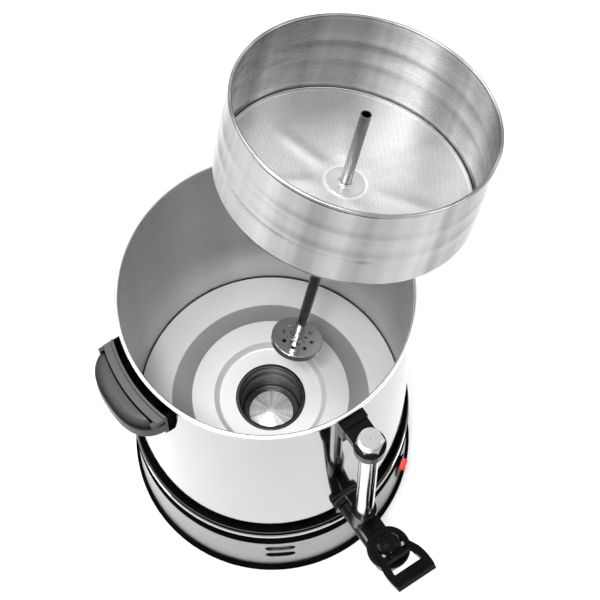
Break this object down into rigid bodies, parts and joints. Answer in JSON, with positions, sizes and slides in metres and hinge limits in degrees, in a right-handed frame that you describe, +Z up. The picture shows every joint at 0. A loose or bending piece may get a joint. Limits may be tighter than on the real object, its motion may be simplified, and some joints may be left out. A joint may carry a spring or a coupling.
{
  "type": "electric percolator urn",
  "caption": "Electric all-in-one brewer: steel pot on a heated base, with side handles, sight gauge, lever tap and a lifted-out filter basket on its riser tube.",
  "frame": {"origin": "on the pot's axis, in the plane of the rubber pad ring that the urn stands on", "axes": "+Z up along the pot's axis; the tap and the gauge are on -Y; the handles are on -X and +X"},
  "size_m": [0.4201, 0.4198, 0.6249],
  "materials": {
    "polished_steel": "mirror-polished stainless steel",
    "satin_steel": "satin stainless steel, faint drawing lines",
    "bright_steel": "bright turned stainless steel",
    "galvanised_steel": "zinc-coated sheet",
    "element_sheath": "dark heat-tinted sheath",
    "cast_aluminium": "die-cast, matt",
    "brass": "turned",
    "black_plastic": "moulded phenolic, semi-gloss",
    "red_plastic": "moulded, gloss",
    "white_plastic": "moulded, matt",
    "silicone": "translucent white silicone",
    "black_rubber": "matt",
    "clear_glass": "clear borosilicate tube"
  },
  "bodies": {
    "urn": {"base_collar": "black_plastic", "base_cover": "galvanised_steel", "base_screws": "bright_steel", "base_skirt": "polished_steel", "boiling_element": "element_sheath", "bracket_screw": "bright_steel", "centre_stud": "brass", "collar_trim": "polished_steel", "cord_gland": "black_plastic", "foot_ring": "black_plastic", "gauge_bracket": "black_plastic", "gauge_cap": "bright_steel", "gauge_glass": "clear_glass", "gauge_guard": "bright_steel", "gauge_seals": "silicone", "handle_left": "black_plastic", "handle_right": "black_plastic", "handle_screws": "bright_steel", "heat_block": "cast_aluminium", "heater_well": "satin_steel", "inner_leads": "silicone", "keep_warm_element": "element_sheath", "lever_pin": "bright_steel", "pot_floor": "satin_steel", "pot_wall": "polished_steel", "rubber_pad_ring": "black_rubber", "stud_nuts": "brass", "switch_housing": "black_plastic", "tap_body": "black_plastic", "tap_bonnet": "black_plastic", "tap_inner_washer": "silicone", "tap_lock_nut": "black_plastic", "tap_outer_washer": "black_rubber", "tap_spout": "bright_steel", "tap_spring": "bright_steel", "terminal_block": "white_plastic", "terminal_bridge": "galvanised_steel", "thermal_cutout": "black_plastic", "thermostat": "galvanised_steel", "thermostat_clip": "galvanised_steel", "vent_grilles": "black_plastic", "well_dome": "bright_steel"},
    "riser": {"riser_tube": "bright_steel", "riser_foot": "bright_steel", "valve_cage": "bright_steel", "stop_collar": "bright_steel"},
    "basket": {"basket_wall": "satin_steel", "basket_floor": "satin_steel", "basket_hub": "satin_steel"},
    "pump_valve": {"valve_disc": "bright_steel"},
    "lever": {"tap_lever": "black_plastic"},
    "tap_valve": {"valve_stem": "black_plastic", "valve_seat_cup": "silicone"},
    "rocker": {"switch_rocker": "red_plastic"}
  },
  "joints": [
    {"name": "set_lift", "type": "slide", "parent": "urn", "child": "riser", "axis": [0.3523, 0.1726, 0.9198], "range_m": [0, 0.18]},
    {"name": "basket_slide", "type": "slide", "parent": "riser", "child": "basket", "axis": [0.3523, 0.1726, 0.9198], "range_m": [0, 0.095]},
    {"name": "pump_valve_lift", "type": "slide", "parent": "riser", "child": "pump_valve", "axis": [0.3523, 0.1726, 0.9198], "range_m": [0, 0.0028]},
    {"name": "tap_lever_press", "type": "hinge", "parent": "urn", "child": "lever", "pos_m": [0, -0.212, 0.216], "axis": [1, 0, 0], "range_deg": [0, 28], "stiffness_Nm_per_rad": 0.04, "springref_deg": -22.92},
    {"name": "tap_valve_lift", "type": "slide", "parent": "urn", "child": "tap_valve", "axis": [0, 0, 1], "range_m": [0, 0.0034], "deforming": ["tap_spring"]},
    {"name": "switch_rock", "type": "hinge", "parent": "urn", "child": "rocker", "pos_m": [0.0798, -0.11187, 0.066], "axis": [-0.8141, -0.5807, 0], "range_deg": [0, 31]}
  ],
  "couplings": [
    {"joint": "tap_valve_lift", "follows": "tap_lever_press", "m_per_rad": 0.00695}
  ]
}
